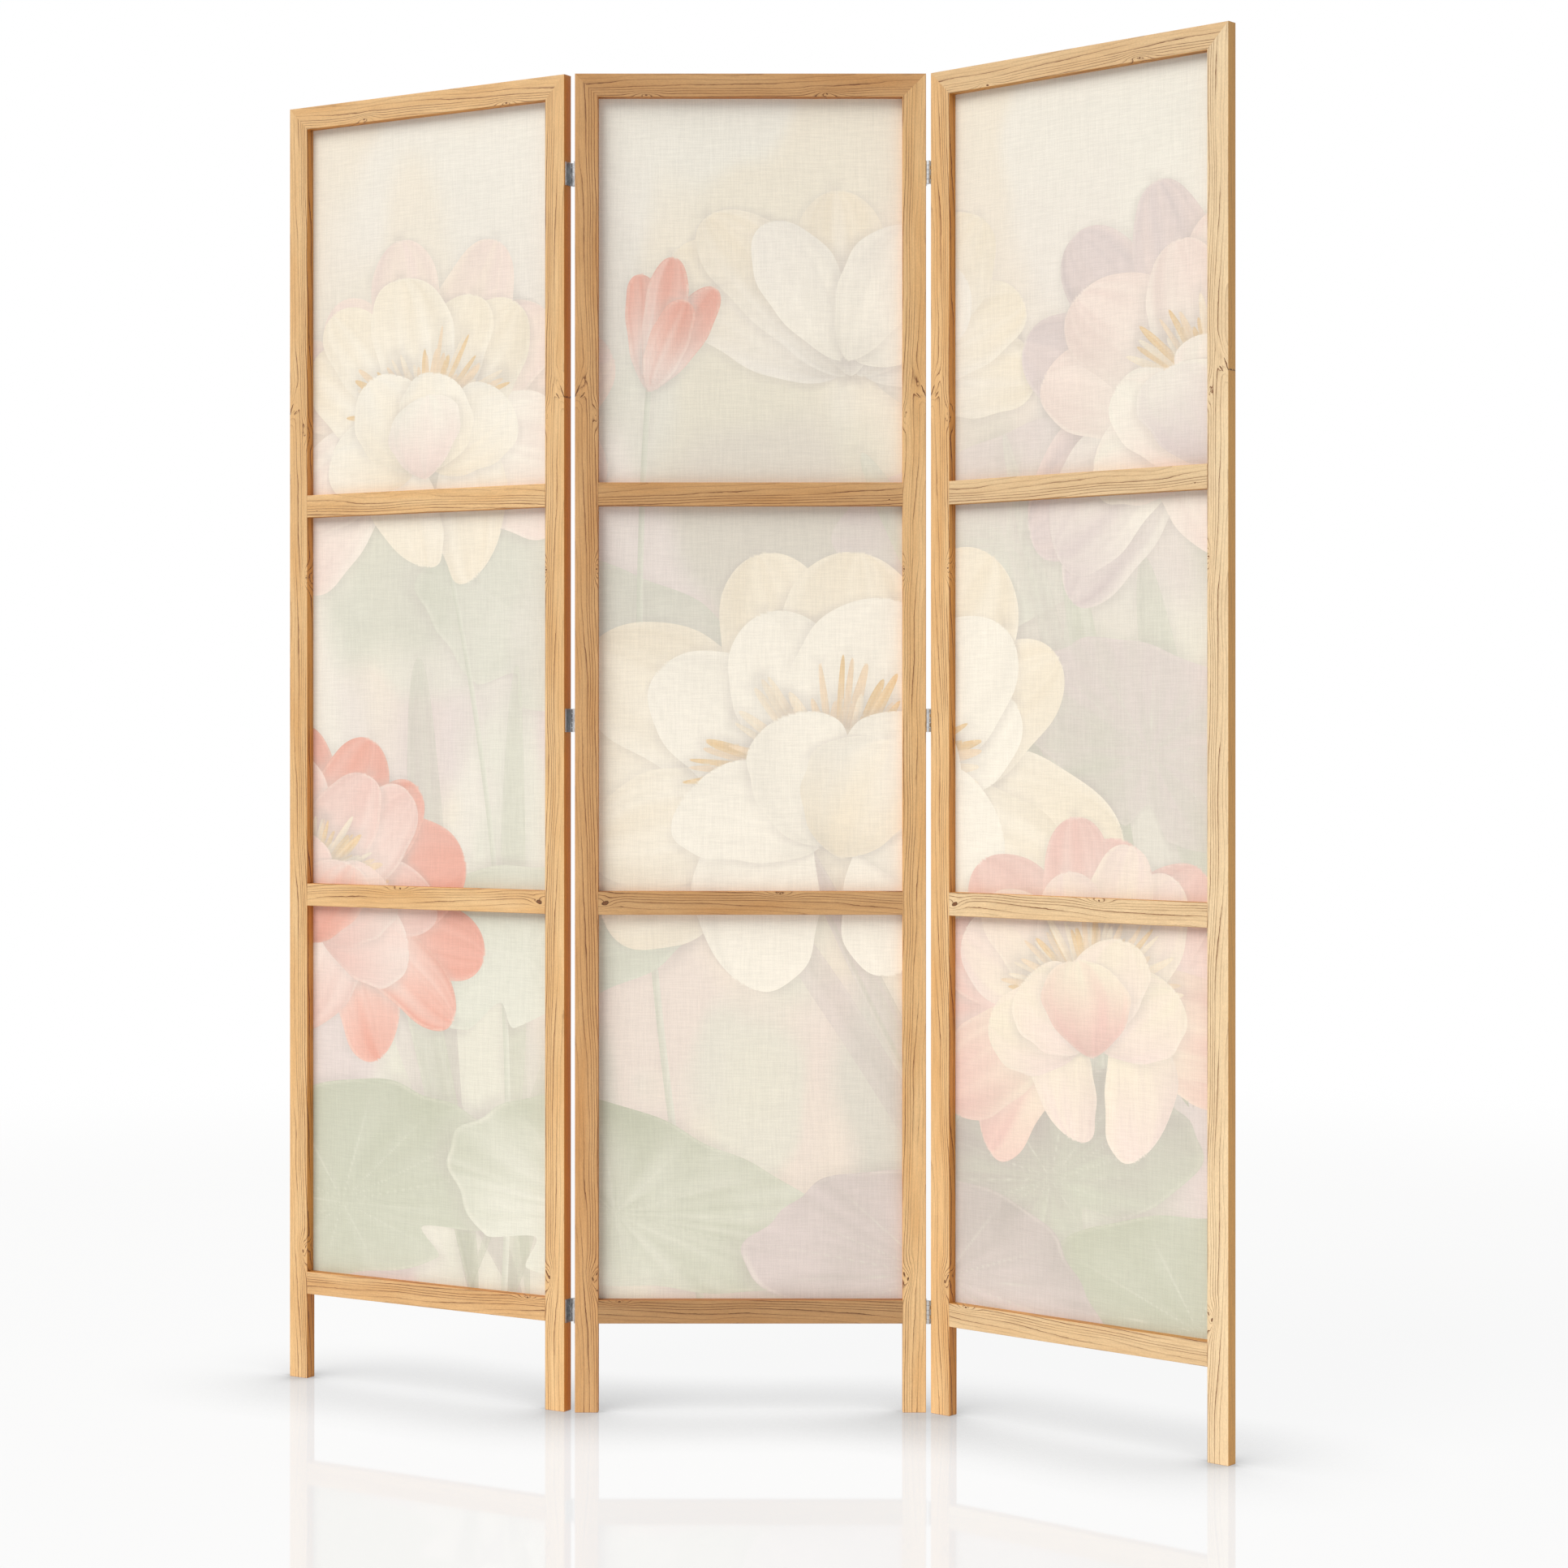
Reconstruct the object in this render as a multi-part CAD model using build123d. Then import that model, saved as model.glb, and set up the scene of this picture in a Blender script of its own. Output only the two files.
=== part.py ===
from build123d import *
from math import sqrt
import os

# Three-panel folding screen: pine frames, cloth stretched over the back of each, butt hinges between.
# Millimetres. +X to the right seen from the printed front, +Y to the back, +Z up from the floor.

# Panel frame
panel_width = 450.0
stile_width = 30.0
rail_height = 30.0
frame_depth = 16.0
opening_height = 494.0
opening_count = 3
leg_height = 114.0
edge_round = 0.8
foot_ease_share = 0.75

# Rebate round the back of the openings, in which the cloth lies
rebate_width = 10.0
rebate_depth = 3.0

# Cloth
cloth_thickness = 0.6
cloth_edge_play = 1.0

# Stub tenons on the rails' ends, glued into mortises in the stiles
tenon_thickness = 6.0
tenon_shoulder = 5.0
mortise_end_play = 1.0
mortise_end_wall = 2.5

# Nails pressed across the mitres from the back, V shaped in plan
nail_arm = 6.0
nail_thickness = 0.8
nail_depth = 7.0
nail_sink = 0.3
nail_first = 9.0
nail_second = 20.0

# Staples that hold the cloth in the rebate
staple_crown = 10.0
staple_front_wall = 6.3
staple_wire = 0.7
staple_wire_width = 1.2
staple_pitch = 190.0
staple_corner_inset = 24.0

# Butt hinges on the stiles' edges
hinge_height = 30.0
hinge_reach = 14.0
hinge_metal = 1.5
knuckle_count = 5
knuckle_play = 0.5
knuckle_notch_play = 0.3
curl_slit = 0.3
pin_radius = 1.2
pin_play = 0.05
pin_proud = 1.5
middle_hinge_lift = 28.0
top_hinge_drop = 127.0

# Countersunk hinge screws, two in each plate
screw_radius = 1.4
screw_head_radius = 2.6
screw_length = 16.0
screw_spacing = 17.0
screw_play = 0.1

# How far the side panels stand folded at rest: left one to the back, right one to the front
left_fold = 30.5
right_fold = 41.0

# Sizes that follow
rail_count = opening_count + 1
panel_height = leg_height + rail_count * rail_height + opening_count * opening_height
half_width = panel_width / 2
inner_half = half_width - stile_width
rebate_floor = frame_depth - rebate_depth
rail_pitch = rail_height + opening_height
window_bottom = leg_height + rail_height
window_top = panel_height - rail_height
barrel_radius = pin_radius + pin_play + hinge_metal
panel_gap = 2 * barrel_radius
pin_x = half_width + barrel_radius
knuckle_pitch = hinge_height / knuckle_count
bottom_hinge_height = leg_height + rail_height / 2
top_hinge_height = panel_height - top_hinge_drop
middle_hinge_height = (bottom_hinge_height + top_hinge_height) / 2 + middle_hinge_lift
screw_row = pin_proud + hinge_reach / 2
screw_bite = screw_length - hinge_metal
mortise_depth = stile_width - screw_bite - mortise_end_wall
tenon_length = mortise_depth - mortise_end_play

hinge_heights = {
    "bottom": bottom_hinge_height,
    "middle": middle_hinge_height,
    "top": top_hinge_height,
}


def block(x_range, y_range, z_range):
    """A box given by its low and high side along each axis."""
    spans = [high - low for low, high in (x_range, y_range, z_range)]
    middle = [(high + low) / 2 for low, high in (x_range, y_range, z_range)]
    return Pos(*middle) * Box(*spans)


def group(solids):
    """Separate solids that share one node."""
    return Compound(list(solids))


def rail_bottom(number):
    """Height of a rail's underside; rail 0 is the bottom one."""
    return leg_height + number * rail_pitch


# Wooden frame, drawn with the panel's middle at x = 0 and its front face at y = 0

def stile_outline():
    """Front view of the right stile, mitred at its top."""
    return Polyline(
        (inner_half, 0),
        (half_width, 0),
        (half_width, panel_height),
        (inner_half, window_top),
        close=True,
    )


def top_rail_outline():
    """Front view of the top rail, mitred at both ends."""
    return Polyline(
        (-inner_half, window_top),
        (inner_half, window_top),
        (half_width, panel_height),
        (-half_width, panel_height),
        close=True,
    )


def front_view_prism(outline, depth):
    """An outline drawn in x and z, carried back from y = 0."""
    face = make_face(Plane.XZ * outline)
    return extrude(face, depth, dir=(0, 1, 0))


def upright_bar():
    """The stile's planed stock, with its four long edges and its foot eased."""
    section = Pos(half_width - stile_width / 2, frame_depth / 2) * RectangleRounded(
        stile_width, frame_depth, edge_round
    )
    bar = extrude(section, panel_height)
    foot_edges = bar.faces().sort_by(Axis.Z)[0].edges()
    return chamfer(foot_edges, foot_ease_share * edge_round)


def level_bar(length, depth, bottom):
    """A rail's planed stock, lying along x, with its four long edges eased."""
    section = Plane.YZ * Pos(depth / 2, bottom + rail_height / 2) * RectangleRounded(
        depth, rail_height, edge_round
    )
    return extrude(section, length / 2, both=True)


def tenon(number, length):
    """The tongue on a rail's right end, or the mortise that takes it."""
    low = rail_bottom(number) + tenon_shoulder
    high = rail_bottom(number) + rail_height - tenon_shoulder
    front = (rebate_floor - tenon_thickness) / 2
    return block((inner_half, inner_half + length), (front, front + tenon_thickness), (low, high))


def with_tenons(rail, number):
    """A rail with a tenon on each end."""
    right = tenon(number, tenon_length)
    return rail + right + mirror(right, Plane.YZ)


def right_stile():
    stile = upright_bar() & front_view_prism(stile_outline(), frame_depth)
    rebate = block(
        (inner_half, inner_half + rebate_width),
        (rebate_floor, frame_depth),
        (window_bottom - rebate_width, panel_height),
    )
    mortises = [tenon(number, mortise_depth) for number in range(rail_count - 1)]
    return stile - rebate - mortises


def left_stile():
    return mirror(right_stile(), Plane.YZ)


def top_rail():
    stock = level_bar(panel_width, frame_depth, window_top)
    rail = stock & front_view_prism(top_rail_outline(), frame_depth)
    rebate = block(
        (-half_width, half_width),
        (rebate_floor, frame_depth),
        (window_top, window_top + rebate_width),
    )
    return rail - rebate


def cross_rail(number):
    """An upper or lower rail: the cloth passes behind it, so it is thinner by the rebate."""
    rail = level_bar(2 * inner_half, rebate_floor, rail_bottom(number))
    return with_tenons(rail, number)


def bottom_rail():
    """The lowest rail: full depth, with the rebate along its upper back edge."""
    rail = level_bar(2 * inner_half, frame_depth, leg_height)
    rebate = block(
        (-inner_half, inner_half),
        (rebate_floor, frame_depth),
        (window_bottom - rebate_width, window_bottom),
    )
    return with_tenons(rail - rebate, 0)


# Small pieces in the frame

def mitre_nail():
    """One V nail with its point up at x = 0 and z = 0, sunk in the back face."""
    inner = nail_thickness * sqrt(2)
    arm_end = nail_arm / sqrt(2)
    shift = nail_thickness / sqrt(2)
    outline = Polyline(
        (0, 0),
        (arm_end, -arm_end),
        (arm_end - shift, -arm_end - shift),
        (0, -inner),
        (-arm_end + shift, -arm_end - shift),
        (-arm_end, -arm_end),
        close=True,
    )
    return Pos(0, frame_depth - nail_sink - nail_depth, 0) * front_view_prism(outline, nail_depth)


def mitre_nails():
    """Two V nails across each mitre, pointing at the outer corner."""
    solids = []
    for side in (-1, 1):
        for distance in (nail_first, nail_second):
            inset = distance / sqrt(2)
            place = Pos(side * (half_width - inset), 0, panel_height - inset)
            solids.append(place * Rot(0, side * 45, 0) * mitre_nail())
    return group(solids)


def cloth():
    """The cloth lies on the rebate's floor, behind the cross rails."""
    reach = rebate_width - cloth_edge_play
    return block(
        (-inner_half - reach, inner_half + reach),
        (rebate_floor, rebate_floor + cloth_thickness),
        (window_bottom - reach, window_top + reach),
    )


def staple():
    """One driven staple, its crown along z on the cloth and its legs in the wood."""
    half_crown = staple_crown / 2
    inside = half_crown - staple_wire
    crown_back = rebate_floor + cloth_thickness + staple_wire
    crown_front = crown_back - staple_wire
    outline = Polyline(
        (crown_back, -half_crown),
        (crown_back, half_crown),
        (staple_front_wall, half_crown),
        (staple_front_wall, inside),
        (crown_front, inside),
        (crown_front, -inside),
        (staple_front_wall, -inside),
        (staple_front_wall, -half_crown),
        close=True,
    )
    face = make_face(Plane.YZ * outline)
    return extrude(face, staple_wire_width / 2, both=True)


def even_places(low, high):
    """Places from low to high, about a staple pitch apart."""
    steps = max(1, round((high - low) / staple_pitch))
    return [low + (high - low) * step / steps for step in range(steps + 1)]


def staples():
    """A row of staples round the cloth, in the middle of its overlap."""
    inset = (rebate_width - cloth_edge_play) / 2
    row_x = inner_half + inset
    upright = staple()
    level = Rot(0, 90, 0) * staple()
    heights = even_places(window_bottom + staple_corner_inset, window_top - staple_corner_inset)
    widths = even_places(-inner_half + staple_corner_inset, inner_half - staple_corner_inset)
    solids = [Pos(side * row_x, 0, height) * upright for side in (-1, 1) for height in heights]
    rows = (window_bottom - inset, window_top + inset)
    solids += [Pos(width, 0, row) * level for row in rows for width in widths]
    return group(solids)


# Hinge, drawn with its pin on the z axis, its middle at z = 0 and the wood towards +y.
# Its fixed plate is on the -x side, its swinging plate on the +x side.

def knuckle_centre(number):
    return -hinge_height / 2 + (number + 0.5) * knuckle_pitch


def knuckle(side, number):
    """One rolled knuckle with the tab that joins it to its plate."""
    height = knuckle_pitch - knuckle_play
    low = knuckle_centre(number) - height / 2
    high = knuckle_centre(number) + height / 2
    outer = side * barrel_radius
    inner = side * (barrel_radius - hinge_metal)
    slit_end = side * (barrel_radius - hinge_metal - curl_slit)
    ring = Cylinder(barrel_radius, height) - Cylinder(pin_radius + pin_play, height)
    slit = block(sorted((inner, slit_end)), (0, barrel_radius), (low, high))
    tab = block(sorted((outer, inner)), (0, barrel_radius + knuckle_notch_play), (low, high))
    return (Pos(0, 0, knuckle_centre(number)) * ring - slit) + tab


def screw_heights():
    return (-screw_spacing / 2, screw_spacing / 2)


def head_place(side):
    """Where a screw's head lies flush with a plate's inner face, its point into the wood."""
    return Pos(side * (barrel_radius - hinge_metal), screw_row, 0) * Rot(0, side * 90, 0)


def countersink(side):
    """The hole through a plate, coned through the sheet for the screw's head."""
    cone = Cone(screw_head_radius + screw_play, screw_radius + screw_play, hinge_metal)
    return head_place(side) * Pos(0, 0, hinge_metal / 2) * cone


def hinge_plate(side, knuckles):
    """A plate of sheet steel with its rolled knuckles and two countersunk holes."""
    outer = side * barrel_radius
    inner = side * (barrel_radius - hinge_metal)
    plate = block(
        sorted((outer, inner)),
        (barrel_radius + knuckle_notch_play, pin_proud + hinge_reach),
        (-hinge_height / 2, hinge_height / 2),
    )
    for number in knuckles:
        plate += knuckle(side, number)
    for height in screw_heights():
        plate -= Pos(0, 0, height) * countersink(side)
    return plate


def fixed_plate():
    return hinge_plate(-1, range(0, knuckle_count, 2))


def swing_plate():
    return hinge_plate(1, range(1, knuckle_count, 2))


def hinge_pin():
    return Cylinder(pin_radius, hinge_height)


def screw():
    """A countersunk screw, its head's top at z = 0 and its shank towards +z."""
    head = Pos(0, 0, hinge_metal / 2) * Cone(screw_head_radius, screw_radius, hinge_metal)
    shank = Pos(0, 0, hinge_metal + screw_bite / 2) * Cylinder(screw_radius, screw_bite)
    return head + shank


def plate_screws(side):
    """The two screws of one plate."""
    return [Pos(0, 0, height) * head_place(side) * screw() for height in screw_heights()]


# Places in the screen

def left_line(height):
    """Where a left hinge stands: its pin at the back, its wood towards the front."""
    return Pos(-pin_x, frame_depth + pin_proud, height) * Rot(0, 0, 180)


def right_line(height):
    """Where a right hinge stands: its pin at the front, its wood towards the back."""
    return Pos(pin_x, -pin_proud, height)


def turned_about(x, y, angle):
    """A turn about an upright line, clockwise seen from above."""
    return Pos(x, y, 0) * Rot(0, 0, -angle) * Pos(-x, -y, 0)


left_turn = turned_about(-pin_x, frame_depth + pin_proud, left_fold)
right_turn = turned_about(pin_x, -pin_proud, right_fold)

panel_places = {
    "left": left_turn * Pos(-panel_width - panel_gap, 0, 0),
    "centre": Pos(0, 0, 0),
    "right": right_turn * Pos(panel_width + panel_gap, 0, 0),
}


def panel_parts():
    """Every piece of the three framed panels, in its place."""
    pieces = {
        "left_stile": left_stile(),
        "right_stile": right_stile(),
        "top_rail": top_rail(),
        "upper_rail": cross_rail(2),
        "lower_rail": cross_rail(1),
        "bottom_rail": bottom_rail(),
        "canvas": cloth(),
        "mitre_nails": mitre_nails(),
        "staples": staples(),
    }
    return {
        f"{name}_panel_{piece}": place * shape
        for name, place in panel_places.items()
        for piece, shape in pieces.items()
    }


def hinge_parts():
    """The six hinges with their screws; what swings turns with its side panel."""
    parts = {}
    rows = (("left", left_line, left_turn), ("right", right_line, right_turn))
    for name, line, turn in rows:
        fixed_screws = []
        swing_screws = []
        for level, height in hinge_heights.items():
            parts[f"{name}_hinge_{level}_fixed_plate"] = line(height) * fixed_plate()
            parts[f"{name}_hinge_{level}_swing_plate"] = turn * line(height) * swing_plate()
            parts[f"{name}_hinge_{level}_pin"] = line(height) * hinge_pin()
            fixed_screws += [line(height) * body for body in plate_screws(-1)]
            swing_screws += [turn * line(height) * body for body in plate_screws(1)]
        parts[f"{name}_hinge_fixed_screws"] = group(fixed_screws)
        parts[f"{name}_hinge_swing_screws"] = group(swing_screws)
    return parts


def to_origin(parts):
    """The move that puts the origin under the middle of the whole screen's box."""
    extent = group(parts.values()).bounding_box()
    return Pos(-extent.center().X, -extent.center().Y, -extent.min.Z)


def write_parts():
    parts = {**panel_parts(), **hinge_parts()}
    home = to_origin(parts)
    os.makedirs("parts", exist_ok=True)
    for node, shape in parts.items():
        export_step(home * shape, f"parts/{node}.step")
    for name, x, y in (("left", -pin_x, frame_depth + pin_proud), ("right", pin_x, -pin_proud)):
        pin = home.position + Vector(x, y, 0)
        print(f"{name} hinge line at x {pin.X:.3f}, y {pin.Y:.3f}")
    print(f"{len(parts)} parts, panel height {panel_height:.1f}, gap between panels {panel_gap:.2f}")


write_parts()
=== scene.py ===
import math

import bmesh
import bpy
import numpy as np
from mathutils import Matrix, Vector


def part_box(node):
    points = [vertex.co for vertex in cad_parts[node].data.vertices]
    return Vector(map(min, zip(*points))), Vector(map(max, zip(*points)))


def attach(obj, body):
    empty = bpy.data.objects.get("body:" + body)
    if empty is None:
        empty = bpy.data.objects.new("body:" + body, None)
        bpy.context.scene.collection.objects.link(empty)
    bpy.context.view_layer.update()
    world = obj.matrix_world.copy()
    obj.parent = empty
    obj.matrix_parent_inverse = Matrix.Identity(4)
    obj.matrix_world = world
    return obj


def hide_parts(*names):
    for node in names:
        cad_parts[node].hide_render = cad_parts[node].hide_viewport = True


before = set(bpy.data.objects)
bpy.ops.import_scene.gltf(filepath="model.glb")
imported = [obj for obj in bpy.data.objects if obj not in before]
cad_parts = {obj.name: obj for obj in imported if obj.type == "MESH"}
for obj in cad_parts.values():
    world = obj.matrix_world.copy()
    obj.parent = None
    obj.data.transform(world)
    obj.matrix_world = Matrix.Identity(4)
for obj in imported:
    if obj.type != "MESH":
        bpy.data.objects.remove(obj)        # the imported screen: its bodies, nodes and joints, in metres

scene = bpy.context.scene
scene.view_settings.view_transform = "Standard"
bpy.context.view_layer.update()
mm = 0.001

# How each panel stands: its turn about the vertical, where it lies in the print when laid flat, which
# way round the grain of its rails runs, and how bright its cloth is: painted shade that darkens the
# side panels' cloth
panels = {
    "left": {"turn": math.radians(-30.5), "printShift": -450, "mirror": -1, "clothShade": 0.91},
    "centre": {"turn": 0.0, "printShift": 0, "mirror": 1, "clothShade": 1.0},
    "right": {"turn": math.radians(-41), "printShift": 450, "mirror": 1, "clothShade": 0.87},
}


# Small helpers

def hexValues(hexCode):
    return np.array([int(hexCode[i:i + 2], 16) / 255 for i in (1, 3, 5)])


def toLinear(values):
    return np.where(values <= 0.04045, values / 12.92, ((values + 0.055) / 1.055) ** 2.4)


def linearColour(hexCode):
    return [*toLinear(hexValues(hexCode)), 1.0]


def addNode(tree, kind, inputs=None, **settings):
    # adds a shader node; an input may be a number, a colour, a socket or another node's first output
    node = tree.nodes.new("ShaderNode" + kind)
    node.location = (220 * (len(tree.nodes) % 12), -260 * (len(tree.nodes) // 12))
    for name, value in settings.items():
        setattr(node, name, value)
    for key, value in (inputs or {}).items():
        if isinstance(value, bpy.types.Node):
            value = value.outputs[0]
        if isinstance(value, bpy.types.NodeSocket):
            tree.links.new(value, node.inputs[key])
        else:
            node.inputs[key].default_value = value
    return node


def newMaterial(name):
    # returns a material with only its output and a Principled shader
    material = bpy.data.materials.new(name)
    material.use_nodes = True
    tree = material.node_tree
    tree.nodes.clear()
    shader = addNode(tree, "BsdfPrincipled")
    addNode(tree, "OutputMaterial", {"Surface": shader})
    return material, tree, shader


def setStops(ramp, stops):
    # puts the colour stops {place: colour or grey} on a Color Ramp node
    elements = ramp.color_ramp.elements
    while len(elements) < len(stops):
        elements.new(0.5)
    for element, (place, value) in zip(elements, sorted(stops.items())):
        element.position = place
        element.color = linearColour(value) if isinstance(value, str) else (value, value, value, 1)


def stretchedNoise(tree, vector, size, seed, detail=2.0):
    # noise whose blotches are size millimetres along the three axes of vector
    scale = [1 / s for s in size]
    shifted = addNode(tree, "Mapping", {"Vector": vector, "Location": (seed, seed * 1.7, seed * 2.3),
                                        "Scale": scale})
    return addNode(tree, "TexNoise", {"Vector": shifted, "Scale": 1.0, "Detail": detail})


def giveMaterial(node, material):
    node.data.materials.clear()
    node.data.materials.append(material)


def boxCentre(name):
    low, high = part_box(name)
    return (low + high) / 2


# Camera

view = {
    "place": (0.0659, -4.0143, 0.8656),
    "lens": 72.39,
    "shiftUp": -0.0299,
}


def placeCamera():
    data = bpy.data.cameras.new("photoCamera")
    data.sensor_width = 36.0
    data.lens = view["lens"]
    data.shift_y = view["shiftUp"]
    camera = bpy.data.objects.new("photoCamera", data)
    camera.location = view["place"]
    camera.rotation_euler = (math.radians(90), 0, 0)
    scene.collection.objects.link(camera)
    scene.camera = camera


placeCamera()
print("camera placed")


# Studio: a white sweep, one large soft lamp from the upper left, and an even fill

studio = {
    "fillColour": "#FFFFFF",
    "fillStrength": 0.44,
    "keyColour": "#FFF9F0",
    "keyStrength": 2.5,
    "keySoftness": 44.0,        # degrees that the lamp spans
    "keyHeight": 42.0,          # degrees above the floor
    "keySide": 50.0,            # degrees to the left of the camera
    "floorColour": "#FAFAFA",
    "floorReach": 9.0,          # metres
    "floorShine": 0.17,
    "floorLift": 0.93,          # share of the floor's white that the lamp's shadow doesn't touch
    "contactReach": 0.26,       # metres beside the feet that the painted close shadow covers
    "contactFrom": (-0.79, -0.36, 0.5),      # the way the feet lie from their shadows
    "contactDepth": 0.55,       # how light the floor stays where the close shadow is full
    "contactRange": (0.70, 0.99),            # openness at which that shadow is full, and gone
    "fadeFrom": 2.2,            # metres from the screen
    "fadeTo": 4.2,
}


def buildWorld():
    world = bpy.data.worlds.new("studio")
    world.use_nodes = True
    tree = world.node_tree
    tree.nodes.clear()
    rays = addNode(tree, "LightPath")
    seen = addNode(tree, "Math", {0: rays.outputs["Is Camera Ray"], 1: rays.outputs["Is Glossy Ray"]},
                   operation="MAXIMUM")
    seen = addNode(tree, "Math", {0: seen, 1: rays.outputs["Is Transmission Ray"]}, operation="MAXIMUM")
    fill = addNode(tree, "Background", {"Color": linearColour(studio["fillColour"]),
                                        "Strength": studio["fillStrength"]})
    white = addNode(tree, "Background", {"Color": (1, 1, 1, 1), "Strength": 1.0})
    mixed = addNode(tree, "MixShader", {0: seen, 1: fill, 2: white})
    addNode(tree, "OutputWorld", {"Surface": mixed})
    scene.world = world


def buildKeyLamp():
    lamp = bpy.data.lights.new("keyLamp", "SUN")
    lamp.energy = studio["keyStrength"]
    lamp.color = linearColour(studio["keyColour"])[:3]
    lamp.angle = math.radians(studio["keySoftness"])
    keyLamp = bpy.data.objects.new("keyLamp", lamp)
    keyLamp.rotation_euler = (math.radians(90 - studio["keyHeight"]), 0, -math.radians(studio["keySide"]))
    scene.collection.objects.link(keyLamp)


def floorMaterial():
    # white acrylic sheet: even, with a faint clear reflection and a painted shadow beside the feet,
    # fading into the white behind it
    material, tree, shader = newMaterial("whiteAcrylic")
    shader.inputs["Base Color"].default_value = linearColour(studio["floorColour"])
    shader.inputs["Roughness"].default_value = 0.6
    shader.inputs["Specular IOR Level"].default_value = 0.0
    rays = addNode(tree, "LightPath")
    lift = addNode(tree, "Math", {0: rays.outputs["Is Camera Ray"], 1: studio["floorLift"]},
                   operation="MULTIPLY")
    # painted shadow: ambient occlusion along a tilted normal darkens the floor's white beside the feet
    hidden = addNode(tree, "AmbientOcclusion", {"Distance": studio["contactReach"],
                                                "Normal": studio["contactFrom"]})
    full, gone = studio["contactRange"]
    contact = addNode(tree, "MapRange", {"Value": hidden.outputs["AO"], "From Min": full, "From Max": gone,
                                         "To Min": studio["contactDepth"], "To Max": 1.0})
    white = addNode(tree, "Emission", {"Strength": contact})
    lifted = addNode(tree, "MixShader", {0: lift, 1: shader, 2: white})
    gloss = addNode(tree, "BsdfAnisotropic", {"Roughness": 0.04})
    lifted = addNode(tree, "MixShader", {0: studio["floorShine"], 1: lifted, 2: gloss})
    place = addNode(tree, "TexCoord")
    distance = addNode(tree, "VectorMath", {0: place.outputs["Object"]}, operation="LENGTH")
    fade = addNode(tree, "MapRange", {"Value": distance.outputs["Value"], "From Min": studio["fadeFrom"],
                                      "From Max": studio["fadeTo"]}, interpolation_type="SMOOTHSTEP")
    clear = addNode(tree, "BsdfTransparent")
    faded = addNode(tree, "MixShader", {0: fade, 1: lifted, 2: clear})
    output = next(node for node in tree.nodes if node.type == "OUTPUT_MATERIAL")
    tree.links.new(faded.outputs[0], output.inputs["Surface"])
    return material


def buildFloor():
    bm = bmesh.new()
    bmesh.ops.create_grid(bm, x_segments=8, y_segments=8, size=studio["floorReach"])
    mesh = bpy.data.meshes.new("studioFloor")
    bm.to_mesh(mesh)
    bm.free()
    floor = bpy.data.objects.new("studioFloor", mesh)
    mesh.materials.append(floorMaterial())
    scene.collection.objects.link(floor)


buildWorld()
buildKeyLamp()
buildFloor()
print("studio ready")


# Pine bars: planed softwood with a satin lacquer

pine = {
    "earlyWood": "#E4BF8C",      # the pale wood between two rings
    "warmWood": "#D6A86F",       # the rosier streaks
    "lateWood": "#744620",       # the dark line that ends each ring
    "paleWood": "#F1DCB9",       # sapwood, which some boards have more of
    "sideShade": (0.92, 0.63, 0.28),      # painted shade: how much darker and deeper in tint the bars' sides are than their front
    "knotHeart": "#7A4A22",
    "knotRim": "#54300F",
    "ringWidth": 3.5,            # millimetres
    "taper": 0.020,
    "pith": (19.0, -25.0),       # millimetres from the bar's middle, across it and in front of it
    "wander": (14.0, 8.0),       # millimetres that the pith strays, across and in depth
    "wobble": 0.45,              # rings
    "jag": 0.10,                 # rings
    "roughness": (0.42, 0.56),
    "fibre": (0.9, 0.9, 22),     # millimetres across, in depth and along, here and below
    "pore": (1.3, 1.3, 2.6),
    "streak": (22, 22, 160),
    "patch": (14, 14, 120),      # where the dark lines grow fainter or stronger
    "fibreTone": (0.89, 1.09),
    "poreTone": (0.93, 1.05),
}

# Boards with painted light and shade: how light each is and how pale its tint is are painted light and
# shade, and how much sapwood it shows is the board's own
plainBoard = (0.96, 1.0, 0.0)
boardShadeAndSapwood = {
    "centre_panel_left_stile": (0.84, 0.88, 0.0),
    "centre_panel_right_stile": (1.02, 1.02, 0.0),
    "centre_panel_top_rail": (0.77, 0.87, 0.0),
    "centre_panel_upper_rail": (0.79, 0.91, 0.0),
    "centre_panel_lower_rail": (0.77, 0.91, 0.0),
    "centre_panel_bottom_rail": (0.58, 0.87, 0.0),
    "left_panel_bottom_rail": (0.86, 0.95, 0.0),
    "right_panel_right_stile": (0.94, 1.06, 0.45),
    "right_panel_top_rail": (0.87, 1.02, 0.2),
    "right_panel_upper_rail": (0.87, 1.04, 0.3),
    "right_panel_lower_rail": (0.90, 1.04, 0.35),
    "right_panel_bottom_rail": (0.84, 1.03, 0.25),
}

# Knots on each kind of bar: place along and across from its middle, the size of the swirl round it
# and its turn, how many rings the swirl holds, and the size of the dark core, in millimetres
outerSpike = {"at": (451, 12), "swirl": (50, 16), "turn": -22, "rings": 3.4, "core": (9, 0.9)}
spikeTick = {"at": (446, 5), "swirl": (12, 4), "turn": -40, "rings": 0.8, "core": (4.5, 0.8)}
innerLoop = {"at": (420, -12), "swirl": (34, 8), "turn": 6, "rings": -2.6, "core": None}
innerEye = {"at": (223, -13), "swirl": (30, 10), "turn": 0, "rings": 3.6, "core": (1.3, 1.1)}
lowKnot = {"at": (-687, -8), "swirl": (40, 14), "turn": 8, "rings": 3.4, "core": (2.6, 1.3)}
lowTwin = {"at": (-680, -13), "swirl": (18, 7), "turn": -20, "rings": 1.8, "core": (2.6, 0.9)}
stileKnots = [outerSpike, spikeTick, innerLoop, innerEye, lowKnot, lowTwin]

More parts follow.
